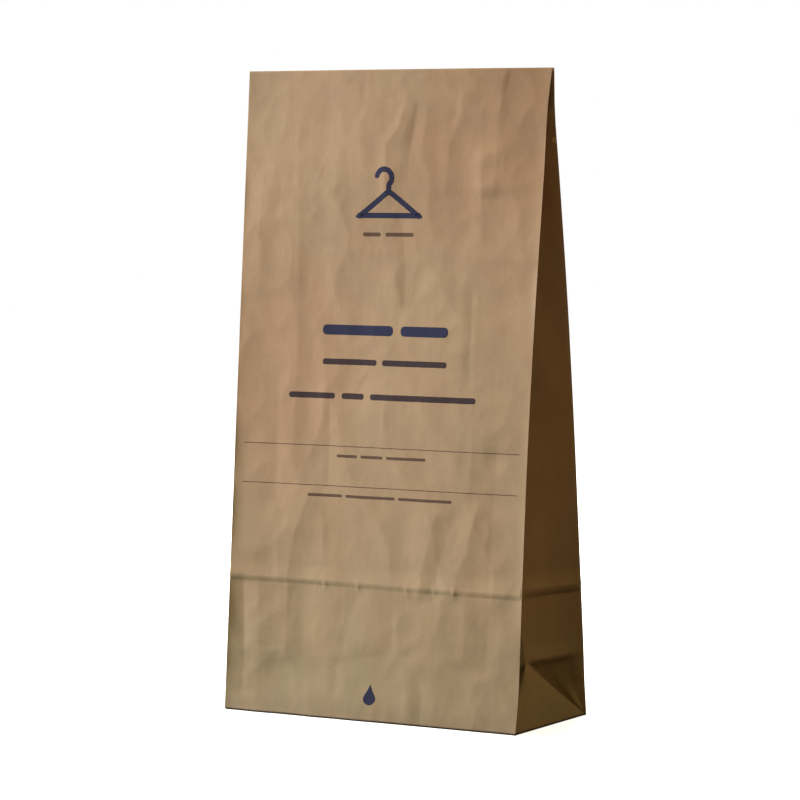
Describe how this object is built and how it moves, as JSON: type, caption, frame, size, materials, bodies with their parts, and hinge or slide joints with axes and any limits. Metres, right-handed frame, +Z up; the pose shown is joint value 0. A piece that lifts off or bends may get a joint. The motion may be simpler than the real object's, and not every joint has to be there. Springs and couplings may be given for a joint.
{
  "type": "kraft paper bag",
  "caption": "Tall block-bottom bag of brown kraft paper, standing upright with folded-in sides and its mouth pressed shut.",
  "frame": {"origin": "middle of the flat block bottom, on the surface that the bag stands on", "axes": "+X to the right along the front panel, +Y from the printed front to the back, +Z up to the mouth"},
  "size_m": [0.3, 0.135, 0.578],
  "materials": {
    "kraft_paper": "matt brown kraft paper with faint fibres and soft wrinkles, printed on the front with plain dark blue and brown shapes"
  },
  "bodies": {
    "root": {"bag": "kraft_paper"}
  },
  "joints": []
}
